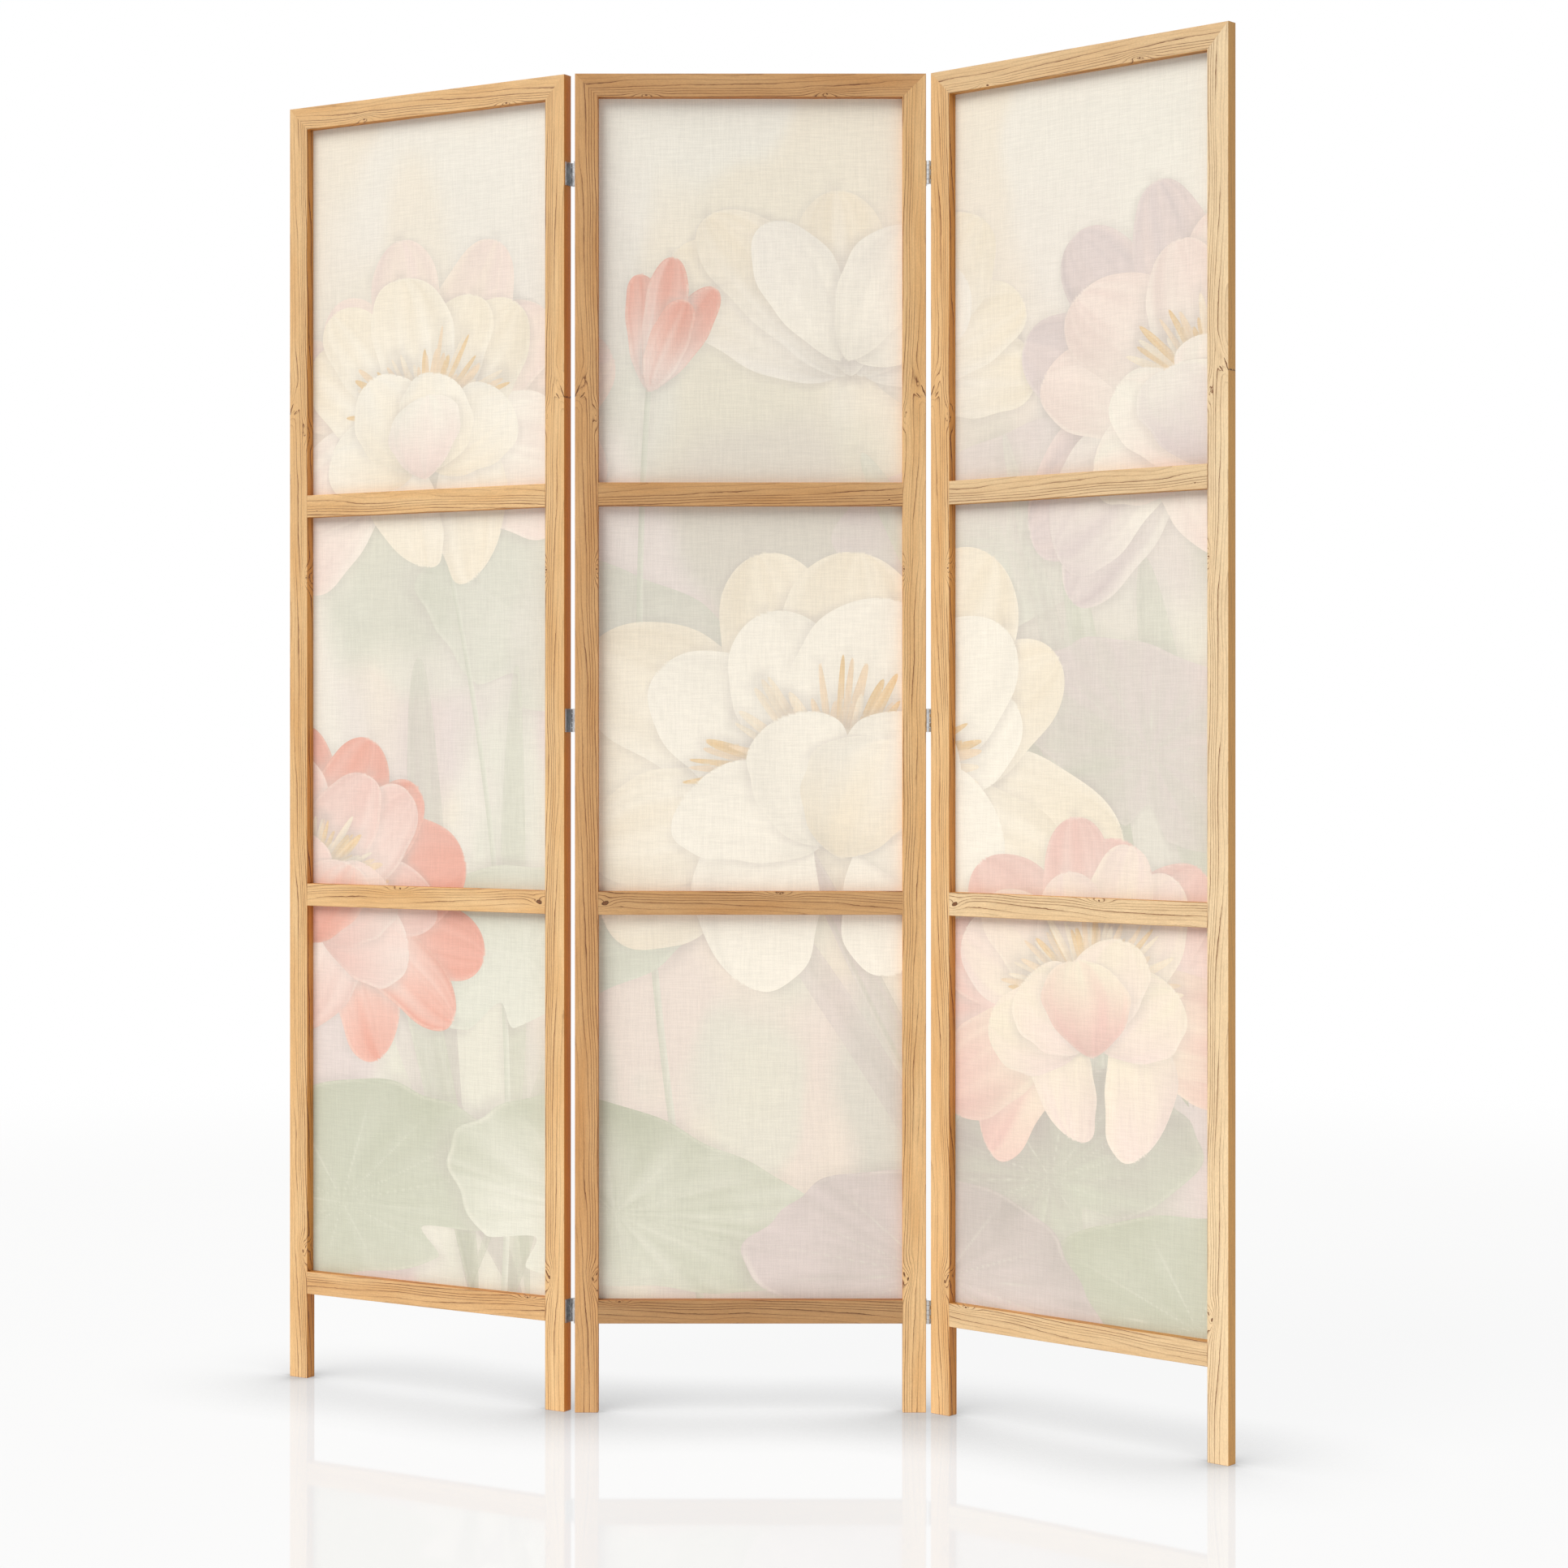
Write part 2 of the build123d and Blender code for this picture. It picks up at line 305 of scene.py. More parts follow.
bars = {
    "left_stile": {"upright": True, "side": -1, "lean": 1, "knots": stileKnots},
    "right_stile": {"upright": True, "side": 1, "lean": 1, "knots": stileKnots},
    "top_rail": {"upright": False, "side": 1, "lean": 1, "knots": [
        {"at": (-134, -13), "swirl": (34, 10), "turn": 0, "rings": 2.6, "core": (2.0, 1.2)},
        {"at": (98, -11), "swirl": (42, 12), "turn": -8, "rings": 3.0, "core": (1.6, 1.2)}]},
    "upper_rail": {"upright": False, "side": 1, "lean": 1, "knots": [
        {"at": (178, -7), "swirl": (6, 3), "turn": 0, "rings": 0.3, "core": (1.1, 1.0)}]},
    "lower_rail": {"upright": False, "side": 1, "lean": -1, "knots": [
        {"at": (-186, 0), "swirl": (34, 14), "turn": 20, "rings": 2.4, "core": (5.0, 3.0)},
        {"at": (38, 12), "swirl": (40, 12), "turn": -6, "rings": 2.6, "core": (1.5, 1.2)}]},
    "bottom_rail": {"upright": False, "side": 1, "lean": -1, "knots": [
        {"at": (-168, 13), "swirl": (30, 10), "turn": 0, "rings": 2.8, "core": (1.8, 1.2)}]},
}


def knotFields(tree, face, knots):
    # the rings that the knots push up, and how deep a point lies in a dark core
    swirls = None
    cores = None
    for knot in knots:
        at = (knot["at"][0], knot["at"][1], 0)
        turn = (0, 0, math.radians(knot["turn"]))
        around = addNode(tree, "Mapping", {"Vector": face, "Location": at, "Rotation": turn,
                                           "Scale": (*knot["swirl"], 1)}, vector_type="TEXTURE")
        bump = addNode(tree, "TexGradient", {"Vector": around}, gradient_type="QUADRATIC_SPHERE")
        rings = addNode(tree, "Math", {0: bump.outputs["Fac"], 1: knot["rings"], 2: swirls or 0.0},
                        operation="MULTIPLY_ADD")
        swirls = rings
        if knot["core"]:
            inside = addNode(tree, "Mapping", {"Vector": face, "Location": at, "Rotation": turn,
                                               "Scale": (*knot["core"], 1)}, vector_type="TEXTURE")
            core = addNode(tree, "TexGradient", {"Vector": inside}, gradient_type="SPHERICAL")
            cores = addNode(tree, "Math", {0: core.outputs["Fac"], 1: cores or 0.0}, operation="MAXIMUM")
    return swirls, cores


def pithDistance(tree, grain, across, depth, lean, seed):
    # distance from the tree's pith, which strays along the bar
    wander = pine["wander"]
    strayAcross = stretchedNoise(tree, grain, (400, 400, 210), seed, detail=1)
    strayDepth = stretchedNoise(tree, grain, (400, 400, 150), seed + 9, detail=1)
    pithAcross = addNode(tree, "Math", {0: strayAcross.outputs["Fac"], 1: wander[0],
                                        2: lean * pine["pith"][0] - wander[0] / 2},
                         operation="MULTIPLY_ADD")
    pithDepth = addNode(tree, "Math", {0: strayDepth.outputs["Fac"], 1: wander[1],
                                       2: pine["pith"][1] - wander[1] / 2}, operation="MULTIPLY_ADD")
    fromPithAcross = addNode(tree, "Math", {0: across, 1: pithAcross}, operation="SUBTRACT")
    fromPithDepth = addNode(tree, "Math", {0: depth, 1: pithDepth}, operation="SUBTRACT")
    fromPith = addNode(tree, "CombineXYZ", {0: fromPithAcross, 1: fromPithDepth})
    return addNode(tree, "VectorMath", {0: fromPith}, operation="LENGTH").outputs["Value"]


def countRings(tree, grain, along, radius, swirls, seed):
    # rings counted outwards, with uneven widths, the tree's taper, knots and a fine jag
    rings = addNode(tree, "Math", {0: radius, 1: 1 / pine["ringWidth"]}, operation="MULTIPLY")
    uneven = addNode(tree, "TexNoise", {"W": rings, "Scale": 0.45, "Detail": 0.0}, noise_dimensions="1D")
    rings = addNode(tree, "Math", {0: uneven.outputs["Fac"], 1: 1.6, 2: rings}, operation="MULTIPLY_ADD")
    rings = addNode(tree, "Math", {0: along, 1: pine["taper"] / pine["ringWidth"], 2: rings},
                    operation="MULTIPLY_ADD")
    wobble = stretchedNoise(tree, grain, (26, 26, 95), seed + 2, detail=2)
    rings = addNode(tree, "Math", {0: wobble.outputs["Fac"], 1: 2 * pine["wobble"], 2: rings},
                    operation="MULTIPLY_ADD")
    jag = stretchedNoise(tree, grain, (1.8, 1.8, 11), seed + 3, detail=2)
    rings = addNode(tree, "Math", {0: jag.outputs["Fac"], 1: 2 * pine["jag"], 2: rings},
                    operation="MULTIPLY_ADD")
    return addNode(tree, "Math", {0: rings, 1: swirls}, operation="ADD")


def ringDarkness(tree, grain, across, rings, lean, seed):
    # each ring darkens slowly and ends in a thin dark line; some rings are stronger than others
    ringNumber = addNode(tree, "Math", {0: rings}, operation="FLOOR")
    phase = addNode(tree, "Math", {0: rings}, operation="FRACT")
    line = addNode(tree, "ValToRGB", {0: phase})
    setStops(line, {0.0: 0.22, 0.04: 0.04, 0.55: 0.03, 0.80: 0.13, 0.92: 0.45, 0.965: 1.0, 1.0: 0.6})
    strength = addNode(tree, "TexWhiteNoise", {"W": ringNumber}, noise_dimensions="1D")
    strength = addNode(tree, "Math", {0: strength.outputs["Value"], 1: 0.70, 2: 0.10},
                       operation="MULTIPLY_ADD")
    patches = stretchedNoise(tree, grain, pine["patch"], seed + 4, detail=1)
    patches = addNode(tree, "MapRange", {"Value": patches.outputs["Fac"], "From Min": 0.35, "From Max": 0.65,
                                         "To Min": -0.10, "To Max": 0.80})
    strength = addNode(tree, "Math", {0: patches, 1: strength}, operation="ADD", use_clamp=True)
    towardsPith = addNode(tree, "Math", {0: across, 1: lean}, operation="MULTIPLY")
    crowded = addNode(tree, "MapRange", {"Value": towardsPith, "From Min": 9.0, "From Max": -3.0,
                                         "To Min": 0.45, "To Max": 2.10})
    strength = addNode(tree, "Math", {0: strength, 1: crowded}, operation="MULTIPLY")
    return addNode(tree, "Math", {0: line, 1: strength}, operation="MULTIPLY", use_clamp=True)


def woodColour(tree, grain, fibres, lateness, tone, seed):
    # slow changes of tone, the rings' dark lines, and fibres and pores that lighten and darken both
    # tone: the board's painted light and shade, as its lightness and tint, and its own sapwood
    paintedLightLevel, shadeTint, sapwood = tone
    pores = stretchedNoise(tree, grain, pine["pore"], seed + 7, detail=2)
    streaks = stretchedNoise(tree, grain, pine["streak"], seed + 8, detail=2)
    warmth = addNode(tree, "ValToRGB", {0: streaks.outputs["Fac"]})
    setStops(warmth, {0.3: pine["earlyWood"], 0.75: pine["warmWood"]})
    wood = addNode(tree, "Mix", {0: sapwood, 6: warmth, 7: linearColour(pine["paleWood"])},
                   data_type="RGBA")
    wood = addNode(tree, "Mix", {0: lateness, 6: wood.outputs[2], 7: linearColour(pine["lateWood"])},
                   data_type="RGBA")
    dark, bright = pine["fibreTone"]
    fibreLight = addNode(tree, "MapRange", {"Value": fibres.outputs["Fac"], "From Min": 0.3, "From Max": 0.7,
                                            "To Min": dark * paintedLightLevel, "To Max": bright * paintedLightLevel})
    dark, bright = pine["poreTone"]
    poreLight = addNode(tree, "MapRange", {"Value": pores.outputs["Fac"], "From Min": 0.3, "From Max": 0.7,
                                           "To Min": dark, "To Max": bright})
    light = addNode(tree, "Math", {0: fibreLight, 1: poreLight}, operation="MULTIPLY")
    wood = addNode(tree, "VectorMath", {0: wood.outputs[2], "Scale": light}, operation="SCALE")
    return addNode(tree, "VectorMath", {0: wood, 1: (1, shadeTint, shadeTint ** 2)}, operation="MULTIPLY")


def darkenKnots(tree, wood, cores):
    # knots: a dark rim round a red-brown heart
    knotColour = addNode(tree, "ValToRGB", {0: cores})
    setStops(knotColour, {0.0: pine["knotRim"], 0.3: pine["knotRim"], 0.6: pine["knotHeart"],
                          1.0: pine["knotRim"]})
    knotMask = addNode(tree, "MapRange", {"Value": cores, "From Min": 0.0, "From Max": 0.18})
    return addNode(tree, "Mix", {0: knotMask, 6: wood, 7: knotColour}, data_type="RGBA").outputs[2]


def shadeSides(tree, wood, normal, turn):
    # painted shade: the sides of a bar are darker and deeper in tint than its front and back
    facing = addNode(tree, "Mapping", {"Vector": normal, "Rotation": (0, 0, -turn)}, vector_type="POINT")
    facing = addNode(tree, "SeparateXYZ", {0: facing})
    squareOn = addNode(tree, "Math", {0: facing.outputs["Y"], 1: facing.outputs["Y"]}, operation="MULTIPLY")
    frontness = addNode(tree, "MapRange", {"Value": squareOn, "From Min": 0.25, "From Max": 0.75})
    tint = addNode(tree, "Mix", {0: frontness, 6: (*pine["sideShade"], 1), 7: (1, 1, 1, 1)},
                   data_type="RGBA")
    return addNode(tree, "VectorMath", {0: wood, 1: tint.outputs[2]}, operation="MULTIPLY").outputs[0]


def pineMaterial(name, centre, turn, bar, side, seed, tone):
    # planed and lacquered pine: thin dark ring lines that swirl round small knots, and a satin shine
    material, tree, shader = newMaterial(name)
    place = addNode(tree, "TexCoord")
    local = addNode(tree, "Mapping", {"Vector": place.outputs["Object"], "Location": centre,
                                      "Rotation": (0, 0, turn), "Scale": (side * mm, mm, mm)},
                    vector_type="TEXTURE")
    axes = addNode(tree, "SeparateXYZ", {0: local})
    along, across = ("Z", "X") if bar["upright"] else ("X", "Z")
    along = axes.outputs[along]
    across = axes.outputs[across]
    depth = axes.outputs["Y"]
    grain = addNode(tree, "CombineXYZ", {0: across, 1: depth, 2: along})

    # the face that the knots lie on, a little jagged
    jagged = stretchedNoise(tree, grain, (3, 3, 7), seed + 5, detail=3)
    shove = addNode(tree, "VectorMath", {0: jagged.outputs["Color"], 1: (0.5, 0.5, 0.5)},
                    operation="SUBTRACT")
    face = addNode(tree, "CombineXYZ", {0: along, 1: across, 2: 0.0})
    face = addNode(tree, "VectorMath", {0: shove, 1: (3.0, 2.0, 0.0), 2: face}, operation="MULTIPLY_ADD")
    swirls, cores = knotFields(tree, face, bar["knots"])

    radius = pithDistance(tree, grain, across, depth, bar["lean"], seed)
    rings = countRings(tree, grain, along, radius, swirls, seed)
    lateness = ringDarkness(tree, grain, across, rings, bar["lean"], seed)
    fibres = stretchedNoise(tree, grain, pine["fibre"], seed + 6, detail=4)
    wood = woodColour(tree, grain, fibres, lateness, tone, seed)
    wood = darkenKnots(tree, wood, cores)
    # painted shade on the bars' sides
    wood = shadeSides(tree, wood, place.outputs["Normal"], turn)
    tree.links.new(wood, shader.inputs["Base Color"])

    smoothest, roughest = pine["roughness"]
    rough = addNode(tree, "MapRange", {"Value": fibres.outputs["Fac"], "From Min": 0.3, "From Max": 0.7,
                                       "To Min": smoothest, "To Max": roughest})
    tree.links.new(rough.outputs[0], shader.inputs["Roughness"])
    height = addNode(tree, "Math", {0: lateness, 1: 0.5, 2: fibres.outputs["Fac"]}, operation="MULTIPLY_ADD")
    bump = addNode(tree, "Bump", {"Height": height, "Strength": 0.35, "Distance": 0.00025})
    tree.links.new(bump.outputs[0], shader.inputs["Normal"])
    return material


def finishBars():
    seed = 0.0
    for panelName, panel in panels.items():
        for barName, bar in bars.items():
            name = f"{panelName}_panel_{barName}"
            side = bar["side"] if bar["upright"] else panel["mirror"]
            seed += 0.37
            # each board's painted light and shade, and its sapwood
            tone = boardShadeAndSapwood.get(name, plainBoard)
            material = pineMaterial("lacqueredPine." + name, boxCentre(name), panel["turn"], bar, side, seed,
                                    tone)
            giveMaterial(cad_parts[name], material)


finishBars()
print("pine bars finished")


# Steel: the hinges are bright zinc plate, the nails and staples are plain wire

steel = {
    "zinc": {"pale": "#D2D3D4", "dull": "#A9AAAC", "roughness": (0.26, 0.42)},
    "wire": {"pale": "#BDBDBB", "dull": "#8E8D8A", "roughness": (0.35, 0.5)},
    "rollLine": (0.5, 0.5, 9),   # millimetres
    "cloud": (5, 5, 7),
}


def steelMaterial(name, look):
    # rolled and plated sheet: fine lines along the roll and a soft cloudy shine
    material, tree, shader = newMaterial(name)
    place = addNode(tree, "TexCoord")
    local = addNode(tree, "Mapping", {"Vector": place.outputs["Object"], "Scale": (mm, mm, mm)},
                    vector_type="TEXTURE")
    lines = stretchedNoise(tree, local, steel["rollLine"], 3.1, detail=3)
    haze = stretchedNoise(tree, local, steel["cloud"], 1.3, detail=3)
    mixed = addNode(tree, "Math", {0: lines.outputs["Fac"], 1: 0.5, 2: haze.outputs["Fac"]},
                    operation="MULTIPLY_ADD")
    share = addNode(tree, "MapRange", {"Value": mixed, "From Min": 0.55, "From Max": 0.95})
    colour = addNode(tree, "Mix", {0: share, 6: linearColour(look["dull"]), 7: linearColour(look["pale"])},
                     data_type="RGBA")
    tree.links.new(colour.outputs[2], shader.inputs["Base Color"])
    shader.inputs["Metallic"].default_value = 1.0
    rough = addNode(tree, "MapRange", {"Value": mixed, "From Min": 0.55, "From Max": 0.95,
                                       "To Min": look["roughness"][1], "To Max": look["roughness"][0]})
    tree.links.new(rough.outputs[0], shader.inputs["Roughness"])
    bump = addNode(tree, "Bump", {"Height": lines.outputs["Fac"], "Strength": 0.15, "Distance": 0.00005})
    tree.links.new(bump.outputs[0], shader.inputs["Normal"])
    return material


def finishSteel():
    zinc = steelMaterial("zincPlatedSteel", steel["zinc"])
    wire = steelMaterial("galvanisedWire", steel["wire"])
    for name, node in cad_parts.items():
        if "hinge" in name:
            giveMaterial(node, zinc)
        elif name.endswith(("_nails", "_staples")):
            giveMaterial(node, wire)


finishSteel()
print("steel finished")


# Print on the cloth: a lotus pond in pale washes that runs on across the three panels.
# Places and sizes are millimetres on the screen laid flat, from the middle of the centre panel.

inks = {
    "skyTop": "#F4F2E9", "skyMiddle": "#F4F0E8", "skyLow": "#E2DFD6", "water": "#CFCEC5",
    "ivory": "#F9F5EA", "cream": "#F5EBD7", "peach": "#F0D6B6", "honey": "#E6BF84",
    "blush": "#F3E1DA", "rose": "#EBC6BE", "coral": "#E8A595", "lilac": "#DFD3D3",
    "mist": "#E0E2D6", "sage": "#CBCFC0", "leaf": "#BCC1AE", "slate": "#B9B2AE",
}


def ink(name):
    return hexValues(inks[name])


def smooth(low, high, value):
    t = np.clip((value - low) / (high - low), 0, 1)
    return t * t * (3 - 2 * t)


def blotches(x, z, size, seed):
    # soft random patches from 0 to 1, about size millimetres across
    grid = np.random.RandomState(seed).rand(64, 64)
    u = x / size + 500
    v = z / size + 500
    column = np.floor(u).astype(int)
    row = np.floor(v).astype(int)
    s = smooth(0, 1, u - column)
    t = smooth(0, 1, v - row)
    low = grid[column % 64, row % 64] * (1 - s) + grid[(column + 1) % 64, row % 64] * s
    high = grid[column % 64, (row + 1) % 64] * (1 - s) + grid[(column + 1) % 64, (row + 1) % 64] * s
    return low * (1 - t) + high * t


def clouds(x, z, size, seed):
    # blotches of three sizes on each other
    total = sum(blotches(x, z, size / 2 ** n, seed + n) / 2 ** n for n in range(3))
    return total / 1.75


def layOver(paint, where, colour, amount):
    old = paint["colour"][where]
    paint["colour"][where] = old + (colour - old) * np.clip(amount, 0, 1)[:, None]


def nearby(paint, at, reach):
    return np.flatnonzero((np.abs(paint["x"] - at[0]) < reach) & (np.abs(paint["z"] - at[1]) < reach))


def layShape(paint, where, inside, colour, strength=1.0, shade=0.30, rim=0.45):
    # a painted shape: a soft shadow beside it, a clean edge, and a pale line just inside the edge
    distance = np.abs(inside)
    if strength > 0.4:
        known = paint["edge"][where]
        paint["edge"][where] = np.where(inside > 0, distance, np.minimum(known, distance))
    shadow = smooth(-20, 0, inside) ** 1.6 * (inside < 0)
    patchy = blotches(paint["x"][where], paint["z"][where], 45, 6)
    layOver(paint, where, ink("slate"), shadow * patchy * shade * strength)
    layOver(paint, where, colour, smooth(-0.1, 0.1, inside) * strength)
    line = smooth(0.0, 0.6, inside) * smooth(5.0, 1.5, inside)
    layOver(paint, where, ink("ivory"), line * rim * patchy * strength)


def petal(paint, root, turn, length, width, bend, heart, tip, rng, strength=1.0):
    # one petal: its root, the way it points in degrees clockwise from up, its size and its two inks
    wave = rng.uniform(0, 6.28, 3)
    seed = rng.randint(1000)
    turn = math.radians(turn)
    middle = (root[0] + math.sin(turn) * length / 2, root[1] + math.cos(turn) * length / 2)
    where = nearby(paint, middle, length * 0.5 + width * 0.6 + 20)
    dx = paint["x"][where] - root[0]
    dz = paint["z"][where] - root[1]
    along = (dx * math.sin(turn) + dz * math.cos(turn)) / length
    across = dx * math.cos(turn) - dz * math.sin(turn) - bend * width * along ** 2
    close = (np.abs(across) < width * 0.62 + 20) & (along * length > -20) & (along * length < length + 20)
    where, along, across = where[close], along[close], across[close]
    if not len(where):
        return
    share = np.clip(along, 0, 1)
    ruffle = 1 + 0.07 * np.sin(5 * share + wave[0]) + 0.025 * np.sin(19 * share + wave[1])
    half = width * 1.10 * ruffle * share ** 0.68 * (1 - share) ** 0.46
    ends = np.minimum(along, 1 - along) * length
    inside = np.minimum(half - np.abs(across), ends + 1.0)
    sideways = np.clip(across / np.maximum(half, 1), -1.3, 1.3)

    # the heart's ink runs into the tip's in long soft streaks, and one side is turned from the light
    streaks = blotches(sideways * 3.2, along * 1.4, 1, seed)
    fine = blotches(sideways * 9, along * 2.0, 1, seed + 1)
    depth = smooth(0.10, 1.0, along) * 0.85 + 0.45 * (streaks - 0.5) + 0.18 * (fine - 0.5)
    colour = ink(heart) + (ink(tip) - ink(heart)) * np.clip(depth, 0, 1)[:, None]
    turned = smooth(-0.2, 1.0, sideways * np.sign(math.sin(wave[2])))
    dim = 0.045 * turned * streaks + 0.05 * smooth(0.35, 0.0, along) + 0.02 * (fine - 0.5)
    layShape(paint, where, inside, np.clip(colour * (1 - dim)[:, None], 0, 1), strength)


def fanned(lean, reach, count):
    # directions spread evenly to both sides of lean, the outermost first
    return sorted(np.linspace(lean - reach, lean + reach, count), key=lambda turn: -abs(turn - lean))


def fan(paint, root, turns, length, width, heart, tip, rng):
    for turn in turns:
        spread = turn / 90
        petal(paint, (root[0] + spread * width * 0.2, root[1]), turn + rng.uniform(-6, 6),
              length * rng.uniform(0.88, 1.08), width * rng.uniform(0.85, 1.15),
              0.25 * spread + rng.uniform(-0.22, 0.22), heart, tip, rng)


def seedHead(paint, at, size, rng):
    # the threads in the middle of a blossom, and the flat cone that they stand round
    for turn in np.linspace(-105, 105, 40):
        petal(paint, (at[0] + turn * size * 0.0035, at[1]), turn * 0.9, size * rng.uniform(0.7, 1.35),
              size * rng.uniform(0.07, 0.13), rng.uniform(-0.6, 0.6), "peach",
              rng.choice(["honey", "peach", "cream"]), rng, 0.85)
    where = nearby(paint, at, size * 1.4)
    dx = (paint["x"][where] - at[0]) / (size * 0.50)
    dz = (paint["z"][where] - at[1] - size * 0.20) / (size * 0.27)
    inside = (1 - np.hypot(dx, dz)) * size * 0.27
    colour = ink("cream") * (1 - 0.07 * blotches(dx * 30, dz * 30, 7, 3)[:, None])
    layShape(paint, where, inside, colour, 0.9)
    for number in range(9):
        angle = number * 2.4
        spot = (at[0] + size * 0.12 * math.sqrt(number) * math.cos(angle),
                at[1] + size * (0.20 + 0.055 * math.sqrt(number) * math.sin(angle)))
        near = nearby(paint, spot, size * 0.08)
        away = np.hypot(paint["x"][near] - spot[0], (paint["z"][near] - spot[1]) * 1.6)
        layOver(paint, near, ink("honey"), smooth(size * 0.06, size * 0.03, away) * 0.8)


def blossom(paint, at, size, lean, heart, middle, tip, seed):
    # a wide open lotus seen from a little above: far petals, drooping ones, seed head, near ones
    rng = np.random.RandomState(seed)
    root = np.array(at, float)
    fan(paint, root, fanned(lean, 80, 7), size, size * 0.48, middle, tip, rng)
    fan(paint, root, [lean + 118, lean - 114, lean + 96, lean - 98], size * 0.92, size * 0.46,
        heart, tip, rng)
    fan(paint, root, fanned(lean, 50, 5), size * 0.82, size * 0.46, heart, middle, rng)
    seedHead(paint, root + (0, size * 0.12), size * 0.34, rng)
    fan(paint, root, [lean + 160, lean - 156], size * 0.66, size * 0.44, heart, middle, rng)
    fan(paint, root - (0, size * 0.16), [lean - 66, lean + 62, lean - 30, lean + 26], size * 0.55,
        size * 0.44, middle, heart, rng)
    fan(paint, root - (0, size * 0.20), [lean + 4], size * 0.46, size * 0.48, tip, heart, rng)


def bud(paint, at, size, lean, heart, tip, seed):
    rng = np.random.RandomState(seed)
    for turn, share in ((-15, 0.86), (15, 0.9), (-3, 1.0), (6, 0.72)):
        petal(paint, at, lean + turn, size * share, size * 0.30, turn * 0.012, heart, tip, rng)


def stem(paint, foot, top, bow, width=4.5, strength=0.8):
    # a stalk from foot to top that bows sideways
    where = np.flatnonzero((paint["z"] > foot[1]) & (paint["z"] < top[1]))
    t = (paint["z"][where] - foot[1]) / (top[1] - foot[1])
    middle = foot[0] + (top[0] - foot[0]) * t + bow * 4 * t * (1 - t)
    slope = (top[0] - foot[0] + bow * 4 * (1 - 2 * t)) / (top[1] - foot[1])
    away = (paint["x"][where] - middle) / np.sqrt(1 + slope ** 2)
    inside = width * (1.1 - 0.3 * t) - np.abs(away)
    colour = ink("sage") + (ink("mist") - ink("sage")) * smooth(-width, width, away)[:, None]
    near = inside > -30
    layShape(paint, where[near], inside[near], colour[near], strength, shade=0.15, rim=0.1)


def pad(paint, at, size, flatness, turn, light, dark, seed, strength=1.0):
    # a round floating leaf seen at a slant, with a wavy rim, a notch and veins from its middle
    rng = np.random.RandomState(seed)
    swings = rng.uniform(0, 6.28, 3)
    notchAt = rng.uniform(-2.4, -0.8)
    where = nearby(paint, at, size * 1.2)
    dx = paint["x"][where] - at[0]
    dz = paint["z"][where] - at[1]
    turn = math.radians(turn)
    u = (dx * math.cos(turn) + dz * math.sin(turn)) / size
    v = (dz * math.cos(turn) - dx * math.sin(turn)) / (size * flatness)
    angle = np.arctan2(v, u)
    rim = 1 + 0.06 * np.sin(3 * angle + swings[0]) + 0.04 * np.sin(5 * angle + swings[1])
    rim = rim + 0.015 * np.sin(13 * angle + swings[2])
    radius = np.hypot(u, v) / rim
    notch = smooth(0.16, 0.0, np.abs(angle - notchAt)) * smooth(0.2, 1.0, radius)
    inside = (1 - radius - 0.5 * notch) * size * flatness
    veinAngle = np.arctan2(v + 0.15, u)
    veins = smooth(0.13, 0.0, np.abs(np.sin(veinAngle * 7 + 0.4))) * smooth(1.0, 0.2, radius)
    tone = clouds(paint["x"][where], paint["z"][where], 150, seed)
    brush = blotches(veinAngle * 9, radius * 2, 1, seed)
    tone = np.clip(0.45 + 1.1 * (tone - 0.5) + 0.30 * v + 0.35 * (brush - 0.5), 0, 1)
    colour = ink(light) + (ink(dark) - ink(light)) * tone[:, None]
    colour = colour + (ink("mist") - colour) * (0.55 * veins)[:, None]
    layShape(paint, where, inside, colour, strength, shade=0.4, rim=0.35)


def background(paint):
    x = paint["x"]
    z = paint["z"]
    height = np.clip((z - 114) / 1600, 0, 1) + 0.16 * (clouds(x, z, 420, 11) - 0.5)
    everywhere = np.arange(len(x))
    paint["colour"] = np.tile(ink("skyTop"), (len(x), 1))
    layOver(paint, everywhere, ink("skyMiddle"), smooth(1.0, 0.6, height))
    layOver(paint, everywhere, ink("skyLow"), smooth(0.66, 0.20, height))
    layOver(paint, everywhere, ink("water"), smooth(0.34, 0.05, height))
    washes = (("blush", 300, 21, 0.6), ("cream", 240, 31, 0.6), ("lilac", 340, 41, 0.8),
              ("mist", 200, 51, 0.7), ("sage", 260, 61, 0.6))
    for name, size, seed, amount in washes:
        patch = smooth(0.50, 0.62, clouds(x, z * 0.7, size, seed))
        low = 1.0 if name in ("blush", "cream") else smooth(1.05, 0.40, height)
        layOver(paint, everywhere, ink(name), patch * amount * low)


def reeds(paint, at, count, height, spread, seed):
    # long blades that lean away from each other
    rng = np.random.RandomState(seed)
    for number in range(count):
        foot = (at[0] + rng.uniform(-0.5, 0.5) * spread, at[1])
        petal(paint, foot, rng.uniform(-32, 32), height * rng.uniform(0.6, 1.1), rng.uniform(26, 60),
              rng.uniform(-1.6, 1.6), rng.choice(["sage", "leaf", "slate"]),
              rng.choice(["mist", "sage", "lilac"]), rng, rng.uniform(0.45, 0.75))


